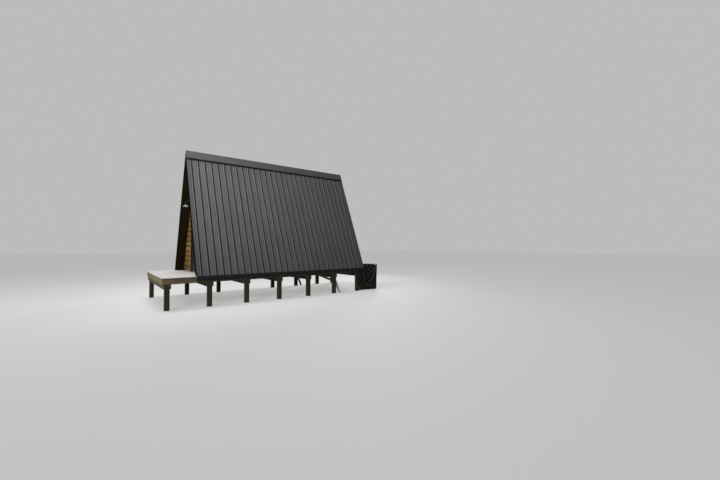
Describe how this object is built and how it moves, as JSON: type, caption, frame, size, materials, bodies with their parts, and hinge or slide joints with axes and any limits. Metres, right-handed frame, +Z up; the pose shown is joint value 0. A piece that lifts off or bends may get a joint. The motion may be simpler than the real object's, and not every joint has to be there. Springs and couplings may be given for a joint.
{
  "type": "a-frame cabin",
  "caption": "Small A-frame cabin on a posted timber platform, with a ribbed metal roof down to the floor, log-sided gables, half-glazed doors and a deck at each end.",
  "frame": {"origin": "centre of the bounding box, at the ground under the posts", "axes": "+X along the ridge towards the rear, -Y towards the side that the picture shows, +Z up"},
  "size_m": [8.56, 3.657, 5.4065],
  "materials": {
    "roof_metal": "charcoal painted ribbed steel, satin",
    "trim_metal": "charcoal painted folded steel",
    "eave_trim": "near-black painted trim",
    "sheathing": "bare strand board",
    "framing": "sawn softwood",
    "log_siding": "amber stained log siding",
    "dark_joinery": "near-black brown stained joinery",
    "black_metal": "black lacquered metal",
    "lamp_metal": "purple-grey enamelled steel with a white rim",
    "treated_timber": "weathered treated timber",
    "floor_boards": "oiled floor boards",
    "deck_boards": "pale grey weathered deck boards",
    "black_sheet": "black woven plastic sheet",
    "glass": "clear dark glazing",
    "lamp_glass": "frosted warm glass"
  },
  "bodies": {
    "root": {"near_roof_panel": "roof_metal", "far_roof_panel": "roof_metal", "ridge_cap": "roof_metal", "near_sheathing": "sheathing", "far_sheathing": "sheathing", "near_rafters": "framing", "far_rafters": "framing", "ridge_board": "framing", "front_rake_trim": "trim_metal", "rear_rake_trim": "trim_metal", "near_eave_trim": "eave_trim", "far_eave_trim": "eave_trim", "front_wall_near": "log_siding", "front_wall_far": "log_siding", "front_wall_top": "log_siding", "rear_wall_near": "log_siding", "rear_wall_far": "log_siding", "rear_wall_top": "log_siding", "front_door_frame": "dark_joinery", "front_door": "dark_joinery", "front_door_glass": "glass", "rear_door_frame": "dark_joinery", "rear_door": "dark_joinery", "rear_door_glass": "glass", "door_knobs": "black_metal", "front_gable_window": "dark_joinery", "front_gable_glass": "glass", "rear_gable_window": "dark_joinery", "rear_gable_glass": "glass", "lamp_bracket": "lamp_metal", "lamp_shade": "lamp_metal", "lamp_globe": "lamp_glass", "near_rim": "treated_timber", "far_rim": "treated_timber", "end_rims": "treated_timber", "floor_joists": "treated_timber", "interior_floor": "floor_boards", "front_deck": "deck_boards", "rear_deck": "deck_boards", "cross_beams": "treated_timber", "near_posts": "treated_timber", "far_posts": "treated_timber", "post_braces": "treated_timber", "rear_rail": "treated_timber", "hung_sheet": "black_sheet"}
  },
  "joints": []
}
